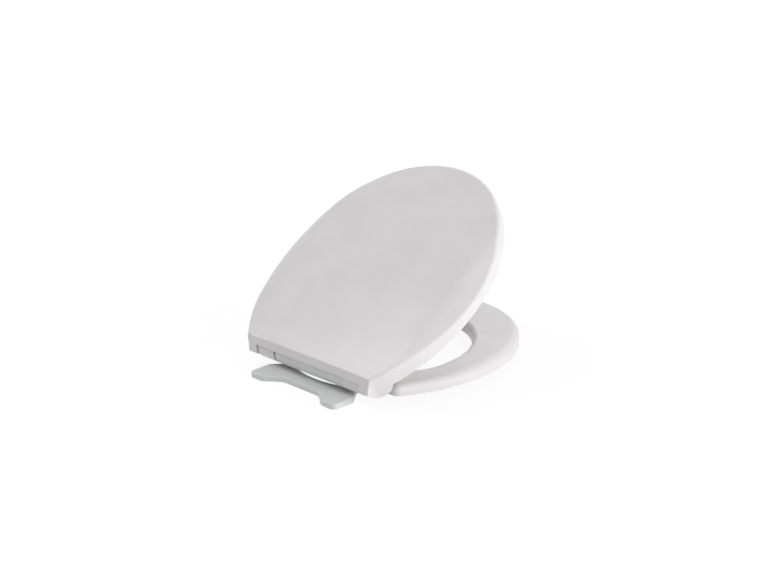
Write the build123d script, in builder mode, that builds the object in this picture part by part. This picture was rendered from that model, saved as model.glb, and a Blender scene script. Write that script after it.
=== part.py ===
"""Toilet seat with lid, soft-close hinge bar and fixing plate.

Millimetres. The origin is midway between the two fixing slots, on the plate's underside.
Z is up and the front of the seat points along -Y. The lid is drawn part open.
"""

import os

from build123d import *
from math import acos, asin, atan2, cos, degrees, radians, sin, sqrt

os.makedirs("parts", exist_ok=True)

# Hinge line, along X, and how far the lid stands open
hinge_y = -12.5
hinge_z = 31.0
lid_opening = 35.6

# Plan outline shared by the lid and the seat ring, measured from the hinge line
half_width = 180.0
front_reach = 215.0
front_radius = 158.0
widest_reach = 161.0
cheek_half_width = 120.4
cheek_reach = 11.0
cheek_blend = 26.0

# Lid
rim_level = -3.7
crown_radius = 9000.0
crown_rear = 26.2
crown_front = 18.5
shoulder_start = 137.0
shoulder_radius = 80.0
shoulder_slope = 16.0
lid_wall = 2.6
lid_edge_round = 4.5
rear_edge_round = 1.8
edge_step = 2.0
rear_lean = 35.6
rear_wall_reach = 20.3
rear_wall = 1.6
notch_half_width = 104.0
notch_top = 4.5
corner_drop = 8.8
lug_back = 1.7
lug_drop = 1.2
lug_radius = 14.5
lug_wall = 3.0
lug_boss_radius = 9.0

# Seat ring
ring_inset = 3.6
ring_bottom = 15.0
ring_top = 32.7
ring_rear = 19.0
ring_outer_round = 13.0
ring_inner_round = 9.0
ring_side_wall = 4.0
ring_top_wall = 3.0
ring_step = 5.0
ring_corner = 14.0
hole_half_width = 127.0
hole_front = 285.0
hole_widest = 136.0
hole_rear = 50.0
hole_front_radius = 110.0
hole_corner = 72.0
rib_thickness = 2.2

# Hinge bar, knuckles and the gaps along the hinge line
bar_radius = 18.3
bar_half_length = 66.6
left_knuckle_gap = 3.0
right_knuckle_gap = 0.6
lug_gap = 2.2
bar_bore = 12.5
bar_core_half = 22.0
bar_chamfer = 0.8

# Base plate and the feet that carry the bar
plate_thickness = 8.0
plate_half_length = 86.0
plate_rear = 38.4
plate_front = 29.4
pad_inner = 60.0
end_front = 1.0
shoulder_x = 75.0
shoulder_y = 15.0
bridge_rear = 18.5
bridge_front = 10.5
bridge_front_end = 23.0
bridge_half_length = 36.0
foot_inner = 56.0
foot_top = 14.0
foot_rear = 15.5
foot_front = 29.0
foot_corner = 2.5
fixing_spacing = 140.0
slot_width = 8.5
slot_length = 18.0
socket_roof = 2.0
grip_length = 18.0
grip_width = 14.0
grip_depth = 1.5
grip_y = 25.0

# Screws between the plate and the bar
screw_x = 60.8
screw_y = 23.0
screw_radius = 2.0
screw_hole = 2.25
screw_head_radius = 3.8
screw_head_height = 2.6
screw_tip = 21.5
screw_sink = 3.4

# Dampers
shaft_radius = 5.0
shaft_flats = 7.0
end_pin_radius = 3.4
rotor_radius = 6.0
journal_radius = 3.0
vane_width = 3.5
rib_width = 4.0
cartridge_bore = 10.4
cartridge_floor = 3.6
cap_length = 5.6
seal_wire = 1.0
bush_wall = 2.0
socket_depth = 10.5
vane_start = 50.0
journal_floor = 0.8
fin_root = 1.0
running_clearance = 0.05
key_clearance = 0.05
fit_clearance = 0.1
free_gap = 0.35

# Rubber buffers
buffer_length = 34.0
buffer_width = 14.0
buffer_stem = 3.0
buffer_stem_length = 7.0
side_buffer_inset = 44.0
side_buffer_back = 41.0
front_buffer_spread = 95.0
front_buffer_back = 71.0
lid_buffer_inset = 52.0
lid_buffer_back = 114.0
lid_buffer_radius = 8.0
lid_buffer_height = 7.0
lid_buffer_gap = 0.4

# Values that follow from the sizes above
side_reach = widest_reach + cheek_reach
side_step = half_width - cheek_half_width
side_radius = (side_reach**2 + side_step**2) / (2 * side_step)
whole_reach = widest_reach + front_reach
side_buffer = (half_width - side_buffer_inset, side_buffer_back - widest_reach)
front_buffer = (front_buffer_spread, front_buffer_back - whole_reach)
lid_buffer = (half_width - lid_buffer_inset, lid_buffer_back - whole_reach)
bar_end = bar_half_length
knuckle_start = bar_half_length + left_knuckle_gap
right_knuckle_start = bar_half_length + right_knuckle_gap
lug_start = notch_half_width
knuckle_end = notch_half_width - lug_gap
cartridge_radius = bar_bore - fit_clearance
cap_start = bar_end - cap_length
shaft_hole = shaft_radius + running_clearance
bush_radius = shaft_hole + bush_wall
end_bush_hole = end_pin_radius + running_clearance
end_bush_radius = end_bush_hole + bush_wall
socket_end = lug_start + socket_depth
foot_outer = bar_end - bar_chamfer
foot_length = foot_outer - foot_inner
foot_middle = (foot_outer + foot_inner) / 2
ring_level = ring_top - hinge_z
seat_height = ring_top - ring_bottom

# Planes: the seat ring lies level, the lid is turned about the hinge line
turn = radians(lid_opening)
lid_plane = Plane(
    origin=(0, hinge_y, hinge_z), x_dir=(1, 0, 0), z_dir=(0, sin(turn), cos(turn))
)
lid_side = Plane(origin=lid_plane.origin, x_dir=lid_plane.y_dir, z_dir=(1, 0, 0))
seat_plane = Plane(origin=(0, hinge_y, 0))
hinge_end = Plane(origin=(0, hinge_y, hinge_z), x_dir=(0, 1, 0), z_dir=(1, 0, 0))

# Rear wall of the lid, seen from the side: its outward and its downward direction
wall_out = Vector(cos(radians(rear_lean)), sin(radians(rear_lean)))
wall_down = Vector(sin(radians(rear_lean)), -cos(radians(rear_lean)))

# The lid's face is one cross-section carried forward along a slightly falling line
face_slope = (crown_rear - crown_front) / whole_reach
face_start = 2 * lug_radius
face_plane = Plane(
    origin=lid_plane.from_local_coords(
        Vector(0, face_start, crown_rear + face_slope * face_start)
    ),
    x_dir=(1, 0, 0),
    z_dir=lid_plane.y_dir * -1 - lid_plane.z_dir * face_slope,
)


def face_section(depth):
    """Cross-section under the lid's face: nearly flat, then a bend and a flat facet each side."""
    lean = degrees(asin(shoulder_start / crown_radius))
    inward = crown_radius - shoulder_radius
    centre_x = inward * sin(radians(lean))
    centre_y = inward * cos(radians(lean)) - crown_radius
    radius = shoulder_radius - depth
    bend = shoulder_slope - lean
    facet_x = centre_x + radius * sin(radians(shoulder_slope))
    facet_y = centre_y + radius * cos(radians(shoulder_slope))
    end_x = half_width + lug_radius
    end_y = facet_y - (end_x - facet_x) * sin(radians(shoulder_slope)) / cos(radians(shoulder_slope))
    floor = -4 * crown_rear
    with BuildSketch() as section:
        with BuildLine():
            CenterArc((0, -crown_radius), crown_radius - depth, 90 - lean, 2 * lean)
            CenterArc((centre_x, centre_y), radius, 90 - shoulder_slope, bend)
            CenterArc((-centre_x, centre_y), radius, 90 + lean, bend)
            Polyline(
                (facet_x, facet_y),
                (end_x, end_y),
                (end_x, floor),
                (-end_x, floor),
                (-end_x, end_y),
                (-facet_x, facet_y),
            )
        make_face()
    return section.sketch


def on_wall(out, down):
    """Point in the side view, given from the hinge line along the rear wall's directions."""
    return wall_out * out + wall_down * down


def oval_front(wide, length, nose, y, inset):
    """Front half of an oval in front of the line at y: a nose arc between two flank arcs."""
    drop = length - nose
    flank = (wide**2 + drop**2 - nose**2) / (2 * (wide - nose))
    swing = degrees(atan2(drop, flank - wide))
    CenterArc((wide - flank, y), flank - inset, -swing, swing)
    CenterArc((0, y - drop), nose - inset, 180 + swing, 180 - 2 * swing)
    CenterArc((flank - wide, y), flank - inset, 180, swing)


def front_and_sides(inset, end_y):
    """Oval front and the two side arcs, which run back to end_y."""
    centre_x = half_width - side_radius
    radius = side_radius - inset
    sweep = degrees(asin((end_y + widest_reach) / radius))
    oval_front(half_width, front_reach, front_radius, -widest_reach, inset)
    CenterArc((centre_x, -widest_reach), radius, 0, sweep)
    CenterArc((-centre_x, -widest_reach), radius, 180 - sweep, sweep)


def half_width_at(inset, y):
    """Half width of the outline at y, behind its widest line."""
    radius = side_radius - inset
    return half_width - side_radius + sqrt(radius**2 - (y + widest_reach) ** 2)


def hole_outline(outset):
    """Opening of the seat ring: an oval front and a rear edge with two round corners."""
    wide = hole_half_width + outset
    near = outset - hole_rear
    corner = hole_corner + outset
    straight = wide - corner
    length = hole_front - hole_widest
    oval_front(hole_half_width, length, hole_front_radius, -hole_widest, -outset)
    Line((wide, -hole_widest), (wide, near - corner))
    CenterArc((straight, near - corner), corner, 0, 90)
    Line((straight, near), (-straight, near))
    CenterArc((-straight, near - corner), corner, 90, 90)
    Line((-wide, near - corner), (-wide, -hole_widest))


def lid_outline(inset):
    """Plan of the lid: the shared outline, then two straight cheeks at the hinge."""
    cheek = cheek_half_width - inset
    radius = side_radius - inset
    blend_y = sqrt(radius**2 - (cheek - half_width + side_radius) ** 2) - widest_reach
    rear = rear_wall_reach / cos(radians(rear_lean)) + lug_radius
    with BuildSketch() as plan:
        with BuildLine():
            front_and_sides(inset, blend_y)
            Polyline((cheek, blend_y), (cheek, rear), (-cheek, rear), (-cheek, blend_y))
        make_face()
        blends = [v for v in plan.vertices() if abs(v.Y - blend_y) < 0.01]
        fillet(blends, cheek_blend + inset)
    return plan.sketch


def lug_profile(reduction):
    """Side view of a lug: a round end under the hinge line, joined to the rear wall.

    The lower edge runs past the rear wall and is trimmed by it.
    """
    radius = lug_radius - reduction
    corner = on_wall(rear_wall_reach, corner_drop - reduction)
    across = corner.X - lug_back
    up = corner.Y + lug_drop
    foot_angle = atan2(up, across) - acos(radius / sqrt(across**2 + up**2))
    tangent = Vector(lug_back + radius * cos(foot_angle), radius * sin(foot_angle) - lug_drop)
    low = corner + (corner - tangent).normalized() * lug_radius
    high = on_wall(rear_wall_reach + lug_radius, -notch_top - 6.0)
    with Locations((lug_back, -lug_drop)):
        Circle(radius)
    with Locations((low.X, low.Y), (high.X, high.Y)):
        Circle(0.01)
    make_hull()


def ahead_of_wall(reach):
    """Side view of all that lies in front of a plane parallel to the lid's rear wall."""
    far = -whole_reach - lug_radius
    upper = on_wall(reach, -3 * crown_rear)
    lower = on_wall(reach, 3 * crown_rear)
    with BuildSketch() as view:
        with BuildLine():
            Polyline(
                (far, lower.Y), (lower.X, lower.Y), (upper.X, upper.Y), (far, upper.Y), close=True
            )
        make_face()
    return view.sketch


def on_hinge(radius, start, end, mode=Mode.ADD):
    """Cylinder on the hinge line between two stations along X."""
    with Locations(Location(((start + end) / 2, hinge_y, hinge_z), (0, 90, 0))):
        Cylinder(radius, abs(end - start), mode=mode)


def double_d(radius, flats, start, end, tilt, mode=Mode.ADD):
    """Round bar with two flats on the hinge line, the flats turned by tilt."""
    with BuildSketch(hinge_end.offset(min(start, end))) as section:
        Circle(radius)
        Rectangle(4 * radius, flats, rotation=tilt, mode=Mode.INTERSECT)
    extrude(section.sketch, amount=abs(end - start), mode=mode)


def fin(inner, outer, width, angle, start, end, mode=Mode.ADD):
    """Radial fin on the hinge line, at an angle in the end view."""
    with BuildSketch(hinge_end.offset(min(start, end))) as section:
        with Locations(Location((0, 0, 0), (0, 0, angle))):
            with Locations(((inner + outer) / 2, 0)):
                Rectangle(outer - inner, width)
    extrude(section.sketch, amount=abs(end - start), mode=mode)


# Solid shape of the lid's outside, lugs included
with BuildPart() as lid_block:
    with BuildSketch(lid_plane.offset(-lug_drop - 2 * lug_radius)):
        add(lid_outline(0))
    extrude(amount=lug_drop + 2 * lug_radius + 2 * crown_rear)
    with BuildSketch(face_plane):
        add(face_section(0))
    extrude(amount=4 * front_reach, mode=Mode.INTERSECT)
    face_edges = [f.edges() for f in lid_block.faces() if f.normal_at().dot(lid_plane.z_dir) > 0.5]
    face_edges = [e for edges in face_edges for e in edges]
    border = [e for e in face_edges if sum(e.is_same(other) for other in face_edges) == 1]
    sides = [e for e in border if lid_plane.to_local_coords(e.center()).Y < face_start - lug_radius]
    fillet(sides, lid_edge_round)
    with BuildSketch(lid_side):
        add(ahead_of_wall(rear_wall_reach))
    extrude(amount=2 * half_width, both=True, mode=Mode.INTERSECT)
    wall_normal = lid_plane.y_dir * wall_out.X + lid_plane.z_dir * wall_out.Y
    rear = [f for f in lid_block.faces() if f.normal_at().dot(wall_normal) > 0.999][0]
    fillet(rear.edges().sort_by(Axis.Z)[1:], rear_edge_round)
    # Lower profile: the rim, and the lugs that hang below it
    with BuildSketch(lid_side):
        far = -whole_reach - lug_radius
        with BuildLine():
            Polyline(
                (far, rim_level),
                (lug_back, rim_level),
                on_wall(rear_wall_reach, corner_drop),
                on_wall(2 * rear_wall_reach, corner_drop),
                on_wall(2 * rear_wall_reach, -3 * crown_rear),
                (far, 3 * crown_rear),
                close=True,
            )
        make_face()
        with BuildSketch(mode=Mode.PRIVATE) as lug_view:
            lug_profile(0)
        add(lug_view.sketch)
    extrude(amount=2 * half_width, both=True, mode=Mode.INTERSECT)


def lid_hollow(inset, depth):
    """Hollow under the lid's face: inset from its sides and depth below its crown."""
    with BuildPart() as hollow:
        with BuildSketch(lid_plane.offset(-lug_drop - 2 * lug_radius)):
            add(lid_outline(inset))
        extrude(amount=lug_drop + 2 * lug_radius + 2 * crown_rear)
        with BuildSketch(lid_side):
            add(ahead_of_wall(rear_wall_reach - rear_wall - inset + lid_wall))
        extrude(amount=half_width, both=True, mode=Mode.INTERSECT)
        with BuildSketch(face_plane):
            add(face_section(depth))
        extrude(amount=4 * front_reach, mode=Mode.INTERSECT)
    return hollow.part


# Inside of the two lugs: a plate beside the knuckle, an edge wall and a pivot boss
with BuildPart() as lug_fill:
    with BuildSketch(lid_plane.offset(-lug_drop - 2 * lug_radius)):
        add(lid_outline(lid_wall / 2))
        Rectangle(2 * lug_start, 4 * front_reach, mode=Mode.SUBTRACT)
    extrude(amount=lug_drop + 2 * lug_radius + crown_rear)
    with BuildSketch(lid_side):
        lug_profile(0)
    extrude(amount=half_width, both=True, mode=Mode.INTERSECT)
    add(lid_block.part, mode=Mode.INTERSECT)
    with BuildSketch(lid_side) as pocket_view:
        lug_profile(lug_wall)
        add(ahead_of_wall(rear_wall_reach - lug_wall), mode=Mode.INTERSECT)
        with Locations((-lug_radius, lug_radius)):
            Circle(lug_radius)
        make_hull()
    for side in (1, -1):
        pocket_start = side * (lug_start + lug_wall)
        extrude(
            pocket_view.sketch.moved(Location((pocket_start, 0, 0))),
            amount=half_width,
            dir=(side, 0, 0),
            mode=Mode.SUBTRACT,
        )
        on_hinge(lug_boss_radius, side * lug_start, side * (cheek_half_width - lid_wall / 2))

with BuildPart() as lid:
    add(lid_block.part)
    # Hollow in two steps, so that the wall keeps its thickness round the top edge
    add(lid_hollow(lid_wall, lid_wall + edge_step), mode=Mode.SUBTRACT)
    add(lid_hollow(lid_wall + edge_step, lid_wall), mode=Mode.SUBTRACT)
    # The lugs stand only at the two ends, and the rear wall has a long notch between them
    with BuildSketch(lid_side):
        with BuildLine():
            Polyline(
                on_wall(rear_wall_reach + 10, -notch_top),
                on_wall(0, -notch_top),
                on_wall(0, 4 * lug_radius),
                on_wall(rear_wall_reach + 10, 4 * lug_radius),
                close=True,
            )
        make_face()
    extrude(amount=lug_start, both=True, mode=Mode.SUBTRACT)
    with BuildSketch(lid_plane.offset(rim_level)):
        with Locations((0, 0)):
            Rectangle(2 * lug_start, 4 * lug_radius)
    extrude(amount=-2 * lug_radius, mode=Mode.SUBTRACT)
    add(lug_fill.part)
    # Keyed socket for the lid damper's shaft, round bore for the bush on the other side
    double_d(
        shaft_radius + key_clearance,
        shaft_flats + 2 * key_clearance,
        lug_start,
        socket_end,
        -lid_opening,
        mode=Mode.SUBTRACT,
    )
    on_hinge(end_bush_radius, -lug_start, -socket_end, mode=Mode.SUBTRACT)
    # Bosses that carry the two buffers
    boss_level = ring_level + lid_buffer_gap + lid_buffer_height
    with BuildSketch(lid_plane.offset(boss_level)):
        with Locations((lid_buffer[0], lid_buffer[1]), (-lid_buffer[0], lid_buffer[1])):
            Circle(lid_buffer_radius)
    extrude(until=Until.NEXT)
    with BuildSketch(lid_plane.offset(boss_level)):
        with Locations((lid_buffer[0], lid_buffer[1]), (-lid_buffer[0], lid_buffer[1])):
            Circle(buffer_stem)
    extrude(amount=buffer_stem_length, mode=Mode.SUBTRACT)


def ring_hollow(wall, depth):
    """Hollow under the seat ring, broken up by the ribs and the buffer bosses."""
    inset = ring_inset + wall
    rear = -ring_rear - wall
    edge = half_width_at(inset, rear)
    with BuildPart() as hollow:
        with BuildSketch(seat_plane.offset(ring_bottom)):
            with BuildLine():
                front_and_sides(inset, rear)
                Line((edge, rear), (-edge, rear))
            make_face()
            with BuildLine():
                hole_outline(wall)
            make_face(mode=Mode.SUBTRACT)
        extrude(amount=seat_height - depth)
        with BuildSketch(seat_plane.offset(ring_bottom + 3)):
            for angle in (-60, -30, 0, 30, 60):
                with Locations(Location((0, -hole_widest, 0), (0, 0, angle))):
                    Rectangle(3 * half_width, rib_thickness)
            with Locations((0, -widest_reach - front_reach / 2)):
                Rectangle(rib_thickness, 2 * front_reach)
        extrude(amount=seat_height, mode=Mode.SUBTRACT)
        with BuildSketch(seat_plane.offset(ring_bottom)):
            for x, y in (side_buffer, front_buffer):
                with Locations((x, y), (-x, y)):
                    Circle(buffer_stem + 3)
        extrude(amount=seat_height, mode=Mode.SUBTRACT)
    return hollow.part


with BuildPart() as seat_ring:
    with BuildSketch(seat_plane.offset(ring_bottom)):
        edge = half_width_at(ring_inset, -ring_rear)
        with BuildLine():
            front_and_sides(ring_inset, -ring_rear)
            Line((edge, -ring_rear), (-edge, -ring_rear))
        outer = make_face()
        fillet([v for v in outer.vertices() if v.Y > -ring_rear - 0.01], ring_corner)
        with BuildLine():
            hole_outline(0)
        make_face(mode=Mode.SUBTRACT)
    extrude(amount=seat_height)
    top = seat_ring.faces().sort_by(Axis.Z)[-1]
    fillet(top.outer_wire().edges(), ring_outer_round)
    top = seat_ring.faces().sort_by(Axis.Z)[-1]
    fillet(top.inner_wires()[0].edges(), ring_inner_round)
    # Hollow in two steps, so that the wall keeps its thickness under the rounded edges
    add(ring_hollow(ring_side_wall, ring_top_wall + ring_step), mode=Mode.SUBTRACT)
    add(ring_hollow(ring_side_wall + ring_step, ring_top_wall), mode=Mode.SUBTRACT)
    # Knuckles on the hinge line, each with an arm to the ring's rear member
    for side in (1, -1):
        start = knuckle_start if side > 0 else -knuckle_end
        length = knuckle_end - (knuckle_start if side > 0 else right_knuckle_start)
        with BuildSketch(hinge_end.offset(start)):
            Circle(bar_radius)
            arm_front = -ring_rear - ring_side_wall
            with BuildLine():
                Polyline(
                    (arm_front, ring_bottom - hinge_z),
                    (-1, ring_bottom - hinge_z),
                    (-1, ring_level - ring_outer_round),
                    (arm_front, ring_level - ring_outer_round),
                    close=True,
                )
            make_face()
        extrude(amount=length)
    on_hinge(bush_radius, knuckle_start, knuckle_end, mode=Mode.SUBTRACT)
    double_d(
        shaft_radius + key_clearance,
        shaft_flats + 2 * key_clearance,
        -right_knuckle_start,
        -knuckle_end,
        0,
        mode=Mode.SUBTRACT,
    )
    with BuildSketch(seat_plane.offset(ring_bottom)):
        for x, y in (side_buffer, front_buffer):
            with Locations((x, y), (-x, y)):
                Circle(buffer_stem)
    extrude(amount=buffer_stem_length, mode=Mode.SUBTRACT)

with BuildPart() as hinge_bar:
    on_hinge(bar_radius, -bar_end, bar_end)
    chamfer(hinge_bar.edges().filter_by(GeomType.CIRCLE), bar_chamfer)
    # Square seats where the bar stands on the plate's feet
    with BuildSketch(Plane.XY.offset(foot_top)):
        for side in (1, -1):
            with Locations((side * foot_middle, -(foot_front + foot_rear) / 2)):
                RectangleRounded(foot_length, foot_front - foot_rear, foot_corner)
    extrude(amount=hinge_z - foot_top)
    with BuildSketch(Plane.XY.offset(foot_top)):
        for side in (1, -1):
            with Locations((side * foot_middle, hinge_y)):
                Rectangle(foot_length, 2 * bar_radius)
    extrude(amount=-foot_top, mode=Mode.SUBTRACT)
    for side in (1, -1):
        on_hinge(bar_bore, side * bar_core_half, side * bar_end, mode=Mode.SUBTRACT)
    with BuildSketch(Plane.XY.offset(foot_top)):
        with Locations((screw_x, -screw_y), (-screw_x, -screw_y)):
            Circle(screw_radius)
    extrude(amount=screw_tip - foot_top, mode=Mode.SUBTRACT)

with BuildPart() as base_plate:
    with BuildSketch() as plate_plan:
        with BuildLine():
            for side in (1, -1):
                Polyline(
                    (side * foot_inner, -bridge_front_end),
                    (side * foot_inner, -plate_front),
                    (side * foot_outer, -plate_front),
                    (side * shoulder_x, -shoulder_y),
                    (side * plate_half_length, -end_front),
                    (side * plate_half_length, plate_rear),
                    (side * pad_inner, plate_rear),
                    (side * bridge_half_length, bridge_rear),
                )
            ThreePointArc(
                (foot_inner, -bridge_front_end),
                (0, -bridge_front),
                (-foot_inner, -bridge_front_end),
            )
            Line((bridge_half_length, bridge_rear), (-bridge_half_length, bridge_rear))
        make_face()
        for x, y, radius in (
            (plate_half_length, plate_rear, 8),
            (plate_half_length, -end_front, 12),
            (shoulder_x, -shoulder_y, 12),
            (pad_inner, plate_rear, 12),
            (bridge_half_length, bridge_rear, 20),
            (foot_outer, -plate_front, 3),
            (foot_inner, -plate_front, 3),
        ):
            for side in (1, -1):
                fillet(plate_plan.vertices().sort_by_distance((side * x, y))[0], radius)
    extrude(amount=plate_thickness)
    fillet(base_plate.faces().sort_by(Axis.Z)[-1].outer_wire().edges(), 1.6)
    # Feet under the bar
    with BuildSketch(Plane.XY.offset(plate_thickness - 1)):
        for side in (1, -1):
            with Locations((side * foot_middle, -(foot_front + foot_rear) / 2)):
                RectangleRounded(foot_length, foot_front - foot_rear, foot_corner)
    extrude(amount=foot_top - plate_thickness + 1)
    # Slots for the fixing pins, let in from below
    with BuildSketch():
        with Locations((fixing_spacing / 2, 0), (-fixing_spacing / 2, 0)):
            SlotOverall(slot_length, slot_width)
    extrude(amount=plate_thickness - socket_roof, mode=Mode.SUBTRACT)
    # Recesses for the grip pads and holes for the two screws
    with BuildSketch():
        for side in (1, -1):
            with Locations((side * fixing_spacing / 2, grip_y)):
                RectangleRounded(grip_length, grip_width, 3)
    extrude(amount=grip_depth, mode=Mode.SUBTRACT)
    with BuildSketch():
        with Locations((screw_x, -screw_y), (-screw_x, -screw_y)):
            Circle(screw_hole)
    extrude(amount=foot_top, mode=Mode.SUBTRACT)
    with BuildSketch():
        with Locations((screw_x, -screw_y), (-screw_x, -screw_y)):
            Circle(screw_head_radius + fit_clearance)
    extrude(amount=screw_sink, mode=Mode.SUBTRACT)

with BuildPart() as left_screw:
    with BuildSketch(Plane.XY.offset(screw_sink)):
        with Locations((screw_x, -screw_y)):
            Circle(screw_head_radius)
    extrude(amount=-screw_head_height)
    with BuildSketch(Plane.XY.offset(screw_sink)):
        with Locations((screw_x, -screw_y)):
            Circle(screw_radius)
    extrude(amount=screw_tip - screw_sink)
    with BuildSketch(Plane.XY.offset(screw_sink - screw_head_height)):
        with Locations((screw_x, -screw_y)):
            Rectangle(4.2, 1.1)
            Rectangle(1.1, 4.2)
    extrude(amount=1.4, mode=Mode.SUBTRACT)

with BuildPart() as right_screw:
    add(mirror(left_screw.part, about=Plane.YZ, mode=Mode.PRIVATE))

with BuildPart() as left_grip_pad:
    with BuildSketch():
        with Locations((fixing_spacing / 2, grip_y)):
            RectangleRounded(grip_length - fit_clearance, grip_width - fit_clearance, 3)
    extrude(amount=grip_depth)

with BuildPart() as right_grip_pad:
    with BuildSketch():
        with Locations((-fixing_spacing / 2, grip_y)):
            RectangleRounded(grip_length - fit_clearance, grip_width - fit_clearance, 3)
    extrude(amount=grip_depth)

# Damper cartridges: a cup with one fixed rib inside, closed by a cap
with BuildPart() as lid_damper_body:
    on_hinge(cartridge_radius, bar_core_half, cap_start)
    floor_end = bar_core_half + cartridge_floor
    on_hinge(cartridge_bore, floor_end, cap_start, mode=Mode.SUBTRACT)
    on_hinge(
        journal_radius + running_clearance,
        bar_core_half + journal_floor,
        floor_end,
        mode=Mode.SUBTRACT,
    )
    fin(rotor_radius + free_gap, cartridge_bore + fin_root / 2, rib_width, 90, floor_end, cap_start)

with BuildPart() as seat_damper_body:
    add(mirror(lid_damper_body.part, about=Plane.YZ, mode=Mode.PRIVATE))

with BuildPart() as lid_damper_cap:
    on_hinge(cartridge_radius, cap_start, bar_end)
    on_hinge(shaft_hole, cap_start, bar_end, mode=Mode.SUBTRACT)
    on_hinge(
        shaft_radius + free_gap + 2 * seal_wire,
        cap_start,
        cap_start + 2 * seal_wire,
        mode=Mode.SUBTRACT,
    )

with BuildPart() as seat_damper_cap:
    add(mirror(lid_damper_cap.part, about=Plane.YZ, mode=Mode.PRIVATE))

with BuildPart() as lid_damper_seal:
    with Locations(Location((cap_start + seal_wire, hinge_y, hinge_z), (0, 90, 0))):
        Torus(shaft_radius + free_gap + seal_wire, seal_wire)

with BuildPart() as seat_damper_seal:
    add(mirror(lid_damper_seal.part, about=Plane.YZ, mode=Mode.PRIVATE))

# Vane shafts: each turns in its cartridge and drives, or is driven by, one moving piece
rotor_start = bar_core_half + cartridge_floor + free_gap
rotor_end = cap_start - free_gap

with BuildPart() as lid_damper_shaft:
    on_hinge(journal_radius, bar_core_half + journal_floor + free_gap, rotor_start)
    on_hinge(rotor_radius, rotor_start, rotor_end)
    fin(
        rotor_radius - fin_root,
        cartridge_bore - free_gap,
        vane_width,
        vane_start - lid_opening,
        rotor_start,
        rotor_end,
    )
    on_hinge(shaft_radius, rotor_end, lug_start)
    double_d(shaft_radius, shaft_flats, lug_start, socket_end - free_gap, -lid_opening)

with BuildPart() as seat_damper_shaft:
    on_hinge(journal_radius, -bar_core_half - journal_floor - free_gap, -rotor_start)
    on_hinge(rotor_radius, -rotor_start, -rotor_end)
    fin(
        rotor_radius - fin_root,
        cartridge_bore - free_gap,
        vane_width,
        vane_start,
        -rotor_start,
        -rotor_end,
    )
    on_hinge(shaft_radius, -rotor_end, -right_knuckle_start)
    double_d(shaft_radius, shaft_flats, -right_knuckle_start, -knuckle_end, 0)
    on_hinge(end_pin_radius, -knuckle_end, -socket_end + free_gap)

with BuildPart() as knuckle_bush:
    on_hinge(bush_radius, knuckle_start, knuckle_end)
    on_hinge(shaft_hole, knuckle_start, knuckle_end, mode=Mode.SUBTRACT)

with BuildPart() as lug_bush:
    on_hinge(end_bush_radius, -lug_start, -socket_end)
    on_hinge(end_bush_hole, -lug_start, -socket_end, mode=Mode.SUBTRACT)


def seat_buffer(x, y):
    """Rubber foot under the seat ring with a stem pressed into its boss."""
    with BuildSketch(seat_plane) as foot:
        with Locations((x, y)):
            RectangleRounded(buffer_width, buffer_length, buffer_width / 2 - 0.5)
    extrude(foot.sketch, amount=ring_bottom)
    with BuildSketch(seat_plane.offset(ring_bottom)) as stem:
        with Locations((x, y)):
            Circle(buffer_stem)
    extrude(stem.sketch, amount=buffer_stem_length)


def cover_buffer(x, y):
    """Rubber button under the lid with a stem pressed into its boss."""
    with BuildSketch(lid_plane.offset(boss_level)) as button:
        with Locations((x, y)):
            Circle(lid_buffer_radius)
    extrude(button.sketch, amount=-lid_buffer_height)
    with BuildSketch(lid_plane.offset(boss_level)) as stem:
        with Locations((x, y)):
            Circle(buffer_stem)
    extrude(stem.sketch, amount=buffer_stem_length)


with BuildPart() as left_side_buffer:
    seat_buffer(side_buffer[0], side_buffer[1])

with BuildPart() as right_side_buffer:
    seat_buffer(-side_buffer[0], side_buffer[1])

with BuildPart() as left_front_buffer:
    seat_buffer(front_buffer[0], front_buffer[1])

with BuildPart() as right_front_buffer:
    seat_buffer(-front_buffer[0], front_buffer[1])

with BuildPart() as left_lid_buffer:
    cover_buffer(lid_buffer[0], lid_buffer[1])

with BuildPart() as right_lid_buffer:
    cover_buffer(-lid_buffer[0], lid_buffer[1])

pieces = {
    "base_plate": base_plate,
    "hinge_bar": hinge_bar,
    "left_screw": left_screw,
    "right_screw": right_screw,
    "left_grip_pad": left_grip_pad,
    "right_grip_pad": right_grip_pad,
    "lid_damper_body": lid_damper_body,
    "lid_damper_cap": lid_damper_cap,
    "lid_damper_seal": lid_damper_seal,
    "seat_damper_body": seat_damper_body,
    "seat_damper_cap": seat_damper_cap,
    "seat_damper_seal": seat_damper_seal,
    "seat_ring": seat_ring,
    "seat_damper_shaft": seat_damper_shaft,
    "knuckle_bush": knuckle_bush,
    "left_side_buffer": left_side_buffer,
    "right_side_buffer": right_side_buffer,
    "left_front_buffer": left_front_buffer,
    "right_front_buffer": right_front_buffer,
    "lid": lid,
    "lid_damper_shaft": lid_damper_shaft,
    "lug_bush": lug_bush,
    "left_lid_buffer": left_lid_buffer,
    "right_lid_buffer": right_lid_buffer,
}

for name, piece in pieces.items():
    piece.part.label = name
    export_step(piece.part, f"parts/{name}.step")
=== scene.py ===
"""Looks of a white toilet seat with its lid part raised, seen from behind the hinge.

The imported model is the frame. This script gives every node its material and sets up the
floor, the light and the camera.
"""

import math

import bpy
from mathutils import Matrix, Vector

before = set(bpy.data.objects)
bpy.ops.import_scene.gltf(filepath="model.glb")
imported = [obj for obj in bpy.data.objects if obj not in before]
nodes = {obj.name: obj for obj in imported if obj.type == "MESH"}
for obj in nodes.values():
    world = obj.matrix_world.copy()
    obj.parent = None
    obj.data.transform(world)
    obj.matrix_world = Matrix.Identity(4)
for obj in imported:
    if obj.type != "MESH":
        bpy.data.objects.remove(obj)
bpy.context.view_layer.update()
scene = bpy.context.scene

# One millimetre in scene units
MM = 0.001
# Point on the seat that the lamps look at
SEAT_MIDDLE = Vector((0, -0.12, 0.08))
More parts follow.
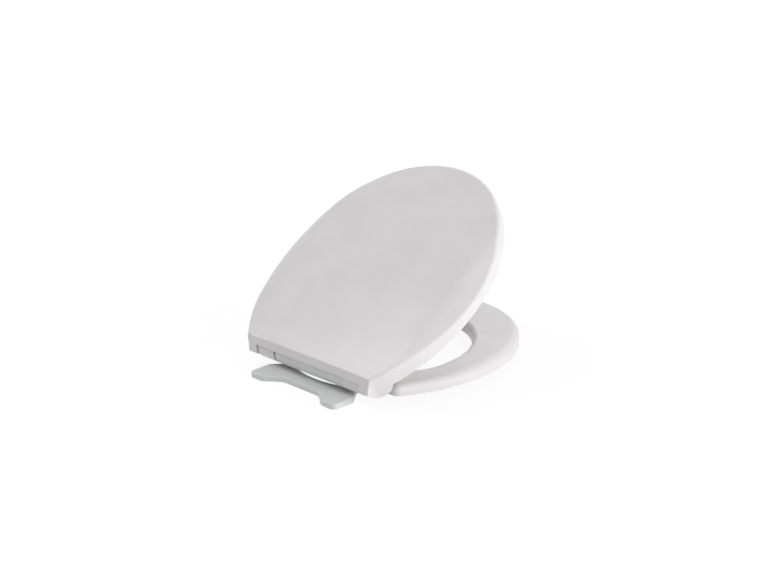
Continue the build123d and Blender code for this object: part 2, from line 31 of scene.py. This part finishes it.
# Floor: its width, and how far it lies below the plate so that the two faces stay apart
FLOOR_WIDTH = 14.0
FLOOR_DROP = 0.4 * MM
# The floor keeps the seat's shadow up to the first reach and is plain white past the second
SHADOW_REACH = 0.4
WHITE_REACH = 1.4
# Share of plain white in the floor up to the first reach
WHITE_SHARE = 0.85
# Strength of the glow that shows the floor as white
FLOOR_GLOW = 1.06
# Strength of the even light from all round
AMBIENT_LIGHT = 0.288
# Camera: its place, the directions of the picture's right and up, sensor and lens in millimetres
CAMERA_PLACE = Vector((-1.4507, 1.4245, 0.8716))
CAMERA_RIGHT = Vector((-0.73617, -0.67652, 0.01911))
CAMERA_UP = Vector((0.24116, -0.23583, 0.94140))
SENSOR_WIDTH = 36.0
LENS_LENGTH = 72.43
PICTURE_SHIFT = (-0.0140, 0.0039)
# Refractive index of polypropylene
POLYPROPYLENE_IOR = 1.49


def linear_colour(code):
    """Linear RGBA of an sRGB hex colour such as e8e8e6."""
    parts = [int(code[i : i + 2], 16) / 255 for i in (0, 2, 4)]
    linear = [p / 12.92 if p <= 0.04045 else ((p + 0.055) / 1.055) ** 2.4 for p in parts]
    return (*linear, 1.0)


def add_node(tree, kind, settings=None, values=None, links=None):
    """Add a node with its properties, its sockets' values and its links from earlier nodes."""
    node = tree.nodes.new(kind)
    for name, value in (settings or {}).items():
        setattr(node, name, value)
    for name, value in (values or {}).items():
        node.inputs[name].default_value = value
    for name, socket in (links or {}).items():
        tree.links.new(socket, node.inputs[name])
    return node


def set_tones(ramp, *stops):
    """Give a colour ramp its stops, each a position and an sRGB hex colour."""
    for element, (position, code) in zip(ramp.color_ramp.elements, stops):
        element.position = position
        element.color = linear_colour(code)


def new_material(name):
    """Empty node material with its output and Principled shader."""
    material = bpy.data.materials.new(name)
    material.use_nodes = True
    tree = material.node_tree
    tree.nodes.clear()
    output = tree.nodes.new("ShaderNodeOutputMaterial")
    shader = tree.nodes.new("ShaderNodeBsdfPrincipled")
    tree.links.new(shader.outputs["BSDF"], output.inputs["Surface"])
    place = tree.nodes.new("ShaderNodeTexCoord").outputs["Object"]
    return material, tree, shader, place


def polished_polypropylene(name, polish):
    """White polypropylene from a polished mould.

    The eye sees a clean soft gloss. The thick walls sank a little as they cooled, so the
    reflections wander slowly, and the pigment has faint flow clouds. The polish is the
    roughness of the cleanest spots.
    """
    material, tree, shader, place = new_material(name)
    shader.inputs["IOR"].default_value = POLYPROPYLENE_IOR
    # Flow clouds about 60 mm wide
    clouds = add_node(
        tree,
        "ShaderNodeTexNoise",
        values={"Scale": 1 / (60 * MM), "Detail": 3.0, "Roughness": 0.5},
        links={"Vector": place},
    )
    pigment = add_node(tree, "ShaderNodeValToRGB", links={"Fac": clouds.outputs["Fac"]})
    set_tones(pigment, (0.3, "e6e4e4"), (0.7, "ebe9e9"))
    tree.links.new(pigment.outputs["Color"], shader.inputs["Base Color"])
    # Handling and mould release leave patches about 25 mm wide with a slightly duller gloss
    patches = add_node(
        tree,
        "ShaderNodeTexNoise",
        values={"Scale": 1 / (25 * MM), "Detail": 4.0, "Roughness": 0.6},
        links={"Vector": place},
    )
    gloss = add_node(
        tree,
        "ShaderNodeMapRange",
        values={"From Min": 0.3, "From Max": 0.7, "To Min": polish, "To Max": polish + 0.05},
        links={"Value": patches.outputs["Fac"]},
    )
    tree.links.new(gloss.outputs["Result"], shader.inputs["Roughness"])
    # Sink waves about 45 mm long, and the fine peel of the mould drawn 6 mm wide
    waves = add_node(
        tree,
        "ShaderNodeTexNoise",
        values={"Scale": 1 / (45 * MM), "Detail": 1.0},
        links={"Vector": place},
    )
    peel = add_node(
        tree,
        "ShaderNodeTexNoise",
        values={"Scale": 1 / (6 * MM), "Detail": 1.0},
        links={"Vector": place},
    )
    wave_bump = add_node(
        tree,
        "ShaderNodeBump",
        values={"Strength": 0.1, "Distance": 0.4 * MM},
        links={"Height": waves.outputs["Fac"]},
    )
    peel_bump = add_node(
        tree,
        "ShaderNodeBump",
        values={"Strength": 0.03, "Distance": 0.05 * MM},
        links={"Height": peel.outputs["Fac"], "Normal": wave_bump.outputs["Normal"]},
    )
    tree.links.new(peel_bump.outputs["Normal"], shader.inputs["Normal"])
    return material


def satin_polypropylene():
    """White polypropylene from a spark-eroded mould.

    The eye sees a dull, even white, because the fine grain of the mould scatters the light.
    """
    material, tree, shader, place = new_material("polypropylene_white_satin")
    shader.inputs["IOR"].default_value = POLYPROPYLENE_IOR
    clouds = add_node(
        tree,
        "ShaderNodeTexNoise",
        values={"Scale": 1 / (30 * MM), "Detail": 3.0},
        links={"Vector": place},
    )
    pigment = add_node(tree, "ShaderNodeValToRGB", links={"Fac": clouds.outputs["Fac"]})
    set_tones(pigment, (0.3, "dfe0e1"), (0.7, "e5e5e5"))
    tree.links.new(pigment.outputs["Color"], shader.inputs["Base Color"])
    # Spark grain is about 0.1 mm; it is drawn 0.8 mm wide so that it shows
    grain = add_node(
        tree,
        "ShaderNodeTexNoise",
        values={"Scale": 1 / (0.8 * MM), "Detail": 2.0, "Roughness": 0.6},
        links={"Vector": place},
    )
    dullness = add_node(
        tree,
        "ShaderNodeMapRange",
        values={"From Min": 0.3, "From Max": 0.7, "To Min": 0.42, "To Max": 0.52},
        links={"Value": grain.outputs["Fac"]},
    )
    tree.links.new(dullness.outputs["Result"], shader.inputs["Roughness"])
    grain_bump = add_node(
        tree,
        "ShaderNodeBump",
        values={"Strength": 0.12, "Distance": 0.06 * MM},
        links={"Height": grain.outputs["Fac"]},
    )
    tree.links.new(grain_bump.outputs["Normal"], shader.inputs["Normal"])
    return material


def soft_rubber():
    """Pale thermoplastic rubber, moulded.

    The eye sees a matt, slightly waxy grey-white with dust held in its grain.
    """
    material, tree, shader, place = new_material("thermoplastic_rubber_pale")
    shader.inputs["IOR"].default_value = 1.5
    dust = add_node(
        tree,
        "ShaderNodeTexNoise",
        values={"Scale": 1 / (4 * MM), "Detail": 5.0, "Roughness": 0.7},
        links={"Vector": place},
    )
    tone = add_node(tree, "ShaderNodeValToRGB", links={"Fac": dust.outputs["Fac"]})
    set_tones(tone, (0.35, "c9c8c4"), (0.65, "dad9d5"))
    tree.links.new(tone.outputs["Color"], shader.inputs["Base Color"])
    matt = add_node(
        tree,
        "ShaderNodeMapRange",
        values={"To Min": 0.62, "To Max": 0.82},
        links={"Value": dust.outputs["Fac"]},
    )
    tree.links.new(matt.outputs["Result"], shader.inputs["Roughness"])
    skin = add_node(
        tree,
        "ShaderNodeBump",
        values={"Strength": 0.25, "Distance": 0.1 * MM},
        links={"Height": dust.outputs["Fac"]},
    )
    tree.links.new(skin.outputs["Normal"], shader.inputs["Normal"])
    return material


def zinc_plated_steel():
    """Zinc-plated steel screw, cold headed.

    The eye sees a bright, slightly blue metal with fine drawing marks along the shank.
    """
    material, tree, shader, place = new_material("steel_zinc_plated")
    shader.inputs["Metallic"].default_value = 1.0
    # Drawing marks run along the screw: fine across it and long along Z
    stretch = add_node(
        tree,
        "ShaderNodeMapping",
        values={"Scale": (1 / (0.3 * MM), 1 / (0.3 * MM), 1 / (6 * MM))},
        links={"Vector": place},
    )
    marks = add_node(
        tree,
        "ShaderNodeTexNoise",
        values={"Scale": 1.0, "Detail": 2.0},
        links={"Vector": stretch.outputs["Vector"]},
    )
    tone = add_node(tree, "ShaderNodeValToRGB", links={"Fac": marks.outputs["Fac"]})
    set_tones(tone, (0.0, "a9adb2"), (1.0, "d3d6d9"))
    tree.links.new(tone.outputs["Color"], shader.inputs["Base Color"])
    sheen = add_node(
        tree,
        "ShaderNodeMapRange",
        values={"To Min": 0.24, "To Max": 0.42},
        links={"Value": marks.outputs["Fac"]},
    )
    tree.links.new(sheen.outputs["Result"], shader.inputs["Roughness"])
    return material


def acetal():
    """Natural acetal, turned and moulded.

    The eye sees a dense, waxy cream white with faint turning rings.
    """
    material, tree, shader, place = new_material("acetal_natural")
    shader.inputs["IOR"].default_value = 1.48
    # Turning rings lie across the hinge line, drawn 0.5 mm apart
    rings = add_node(
        tree,
        "ShaderNodeTexWave",
        settings={"wave_type": "BANDS", "bands_direction": "X"},
        values={"Scale": 1 / (2 * math.pi * 0.5 * MM), "Distortion": 0.4, "Detail": 1.0},
        links={"Vector": place},
    )
    tone = add_node(tree, "ShaderNodeValToRGB", links={"Fac": rings.outputs["Fac"]})
    set_tones(tone, (0.0, "dfdcd2"), (1.0, "e8e5dc"))
    tree.links.new(tone.outputs["Color"], shader.inputs["Base Color"])
    wax = add_node(
        tree,
        "ShaderNodeMapRange",
        values={"To Min": 0.34, "To Max": 0.46},
        links={"Value": rings.outputs["Fac"]},
    )
    tree.links.new(wax.outputs["Result"], shader.inputs["Roughness"])
    return material


def glass_filled_nylon():
    """Dark glass-filled nylon for the damper housings.

    The eye sees a dull charcoal with pale flecks where short fibres reach the surface.
    """
    material, tree, shader, place = new_material("nylon_glass_filled")
    shader.inputs["IOR"].default_value = 1.53
    fibres = add_node(
        tree,
        "ShaderNodeTexNoise",
        values={"Scale": 1 / (0.7 * MM), "Detail": 4.0, "Roughness": 0.75},
        links={"Vector": place},
    )
    tone = add_node(tree, "ShaderNodeValToRGB", links={"Fac": fibres.outputs["Fac"]})
    set_tones(tone, (0.45, "2c2e31"), (0.75, "4a4c50"))
    tree.links.new(tone.outputs["Color"], shader.inputs["Base Color"])
    dull = add_node(
        tree,
        "ShaderNodeMapRange",
        values={"To Min": 0.5, "To Max": 0.7},
        links={"Value": fibres.outputs["Fac"]},
    )
    tree.links.new(dull.outputs["Result"], shader.inputs["Roughness"])
    return material


def nitrile_rubber():
    """Black nitrile rubber seal, greased.

    The eye sees a soft black with a wet, uneven shine.
    """
    material, tree, shader, place = new_material("nitrile_rubber_black")
    shader.inputs["IOR"].default_value = 1.52
    grease = add_node(
        tree,
        "ShaderNodeTexNoise",
        values={"Scale": 1 / (2 * MM), "Detail": 3.0},
        links={"Vector": place},
    )
    tone = add_node(tree, "ShaderNodeValToRGB", links={"Fac": grease.outputs["Fac"]})
    set_tones(tone, (0.0, "141414"), (1.0, "242424"))
    tree.links.new(tone.outputs["Color"], shader.inputs["Base Color"])
    shine = add_node(
        tree,
        "ShaderNodeMapRange",
        values={"To Min": 0.2, "To Max": 0.5},
        links={"Value": grease.outputs["Fac"]},
    )
    tree.links.new(shine.outputs["Result"], shader.inputs["Roughness"])
    return material


# The lid's mould is polished brighter than the ring's
lid_finish = polished_polypropylene("polypropylene_white_polished", 0.19)
ring_finish = polished_polypropylene("polypropylene_white_fine_satin", 0.3)
satin = satin_polypropylene()
rubber = soft_rubber()
steel = zinc_plated_steel()
bearing = acetal()
housing = glass_filled_nylon()
seal = nitrile_rubber()

finish_of = {
    "lid": lid_finish,
    "seat_ring": ring_finish,
    "hinge_bar": satin,
    "base_plate": satin,
    "left_screw": steel,
    "right_screw": steel,
    "lid_damper_shaft": bearing,
    "seat_damper_shaft": bearing,
    "knuckle_bush": bearing,
    "lug_bush": bearing,
    "lid_damper_body": housing,
    "seat_damper_body": housing,
    "lid_damper_cap": housing,
    "seat_damper_cap": housing,
    "lid_damper_seal": seal,
    "seat_damper_seal": seal,
}
# The nodes that aren't named here are grip pads and buffers of soft rubber
for name, node in nodes.items():
    finish = finish_of.get(name, rubber)
    for entry in node.material_slots:
        entry.material = finish


def build_floor():
    """Plain white floor that shows the seat's soft shadow."""
    bpy.ops.object.select_all(action="DESELECT")
    bpy.ops.mesh.primitive_plane_add(size=FLOOR_WIDTH, location=(0, 0, -FLOOR_DROP))
    floor = bpy.context.object
    floor.name = "studio_floor"
    material = bpy.data.materials.new("floor_white")
    material.use_nodes = True
    tree = material.node_tree
    tree.nodes.clear()
    matt = add_node(tree, "ShaderNodeBsdfDiffuse", values={"Color": linear_colour("f0f0f0")})
    glow = add_node(tree, "ShaderNodeEmission", values={"Strength": FLOOR_GLOW})
    # The glow is for the eye and for reflections only, so it lights nothing
    rays = add_node(tree, "ShaderNodeLightPath")
    seen = add_node(
        tree,
        "ShaderNodeMath",
        settings={"operation": "MAXIMUM"},
        links={0: rays.outputs["Is Camera Ray"], 1: rays.outputs["Is Glossy Ray"]},
    )
    place = add_node(tree, "ShaderNodeTexCoord").outputs["Object"]
    reach = add_node(
        tree, "ShaderNodeVectorMath", settings={"operation": "LENGTH"}, links={0: place}
    )
    white = add_node(
        tree,
        "ShaderNodeMapRange",
        values={
            "From Min": SHADOW_REACH,
            "From Max": WHITE_REACH,
            "To Min": WHITE_SHARE,
            "To Max": 1.0,
        },
        links={"Value": reach.outputs["Value"]},
    )
    share = add_node(
        tree,
        "ShaderNodeMath",
        settings={"operation": "MULTIPLY"},
        links={0: seen.outputs[0], 1: white.outputs["Result"]},
    )
    mix = add_node(
        tree,
        "ShaderNodeMixShader",
        links={"Fac": share.outputs[0], 1: matt.outputs["BSDF"], 2: glow.outputs["Emission"]},
    )
    add_node(tree, "ShaderNodeOutputMaterial", links={"Surface": mix.outputs["Shader"]})
    floor.data.materials.append(material)


def build_world():
    """Even white surround: plain light on the seat, white where the eye looks past it."""
    world = bpy.data.worlds.new("studio_surround")
    scene.world = world
    world.use_nodes = True
    tree = world.node_tree
    tree.nodes.clear()
    white = linear_colour("ffffff")
    ambient = add_node(
        tree, "ShaderNodeBackground", values={"Color": white, "Strength": AMBIENT_LIGHT}
    )
    backdrop = add_node(tree, "ShaderNodeBackground", values={"Color": white, "Strength": 1.0})
    rays = add_node(tree, "ShaderNodeLightPath")
    camera_or_glossy = add_node(
        tree,
        "ShaderNodeMath",
        settings={"operation": "MAXIMUM"},
        links={0: rays.outputs["Is Camera Ray"], 1: rays.outputs["Is Glossy Ray"]},
    )
    seen = add_node(
        tree,
        "ShaderNodeMath",
        settings={"operation": "MAXIMUM"},
        links={0: camera_or_glossy.outputs[0], 1: rays.outputs["Is Transmission Ray"]},
    )
    mix = add_node(
        tree,
        "ShaderNodeMixShader",
        links={
            "Fac": seen.outputs[0],
            1: ambient.outputs["Background"],
            2: backdrop.outputs["Background"],
        },
    )
    add_node(tree, "ShaderNodeOutputWorld", links={"Surface": mix.outputs["Shader"]})


def add_soft_light(name, place, size, power, reflected=True):
    """Square soft box that looks at the seat. A plain fill lamp is seen in no reflection."""
    light = bpy.data.lights.new(name, "AREA")
    light.shape = "SQUARE"
    light.size = size
    light.energy = power
    lamp = bpy.data.objects.new(name, light)
    scene.collection.objects.link(lamp)
    lamp.visible_glossy = reflected
    aim = SEAT_MIDDLE - Vector(place)
    lamp.location = place
    lamp.rotation_euler = aim.to_track_quat("-Z", "Y").to_euler()


def build_camera():
    """Camera behind the seat, to its right and a little above, as in the photograph."""
    data = bpy.data.cameras.new("photo_camera")
    data.sensor_fit = "HORIZONTAL"
    data.sensor_width = SENSOR_WIDTH
    data.lens = LENS_LENGTH
    data.shift_x, data.shift_y = PICTURE_SHIFT
    data.clip_start = 0.05
    data.clip_end = 50.0
    camera = bpy.data.objects.new("photo_camera", data)
    scene.collection.objects.link(camera)
    back = CAMERA_RIGHT.cross(CAMERA_UP)
    turn = Matrix((CAMERA_RIGHT, CAMERA_UP, back)).transposed()
    camera.matrix_world = Matrix.Translation(CAMERA_PLACE) @ turn.to_4x4()
    scene.camera = camera


build_floor()
build_world()
# Each lamp's place and width are in metres, its power in watts
add_soft_light("left_softbox", (1.05, 0.62, 1.45), 0.9, 8.5)
add_soft_light("rear_softbox", (0.5, 0.55, 1.75), 0.9, 2.2)
add_soft_light("top_softbox", (-0.4, 0.1, 1.0), 0.7, 0.7)
add_soft_light("right_fill", (-1.6, -0.3, 0.35), 1.4, 22.5, reflected=False)
add_soft_light("front_softbox", (0.8, -1.5, 1.3), 1.6, 7.6)
build_camera()

scene.view_settings.view_transform = "Standard"
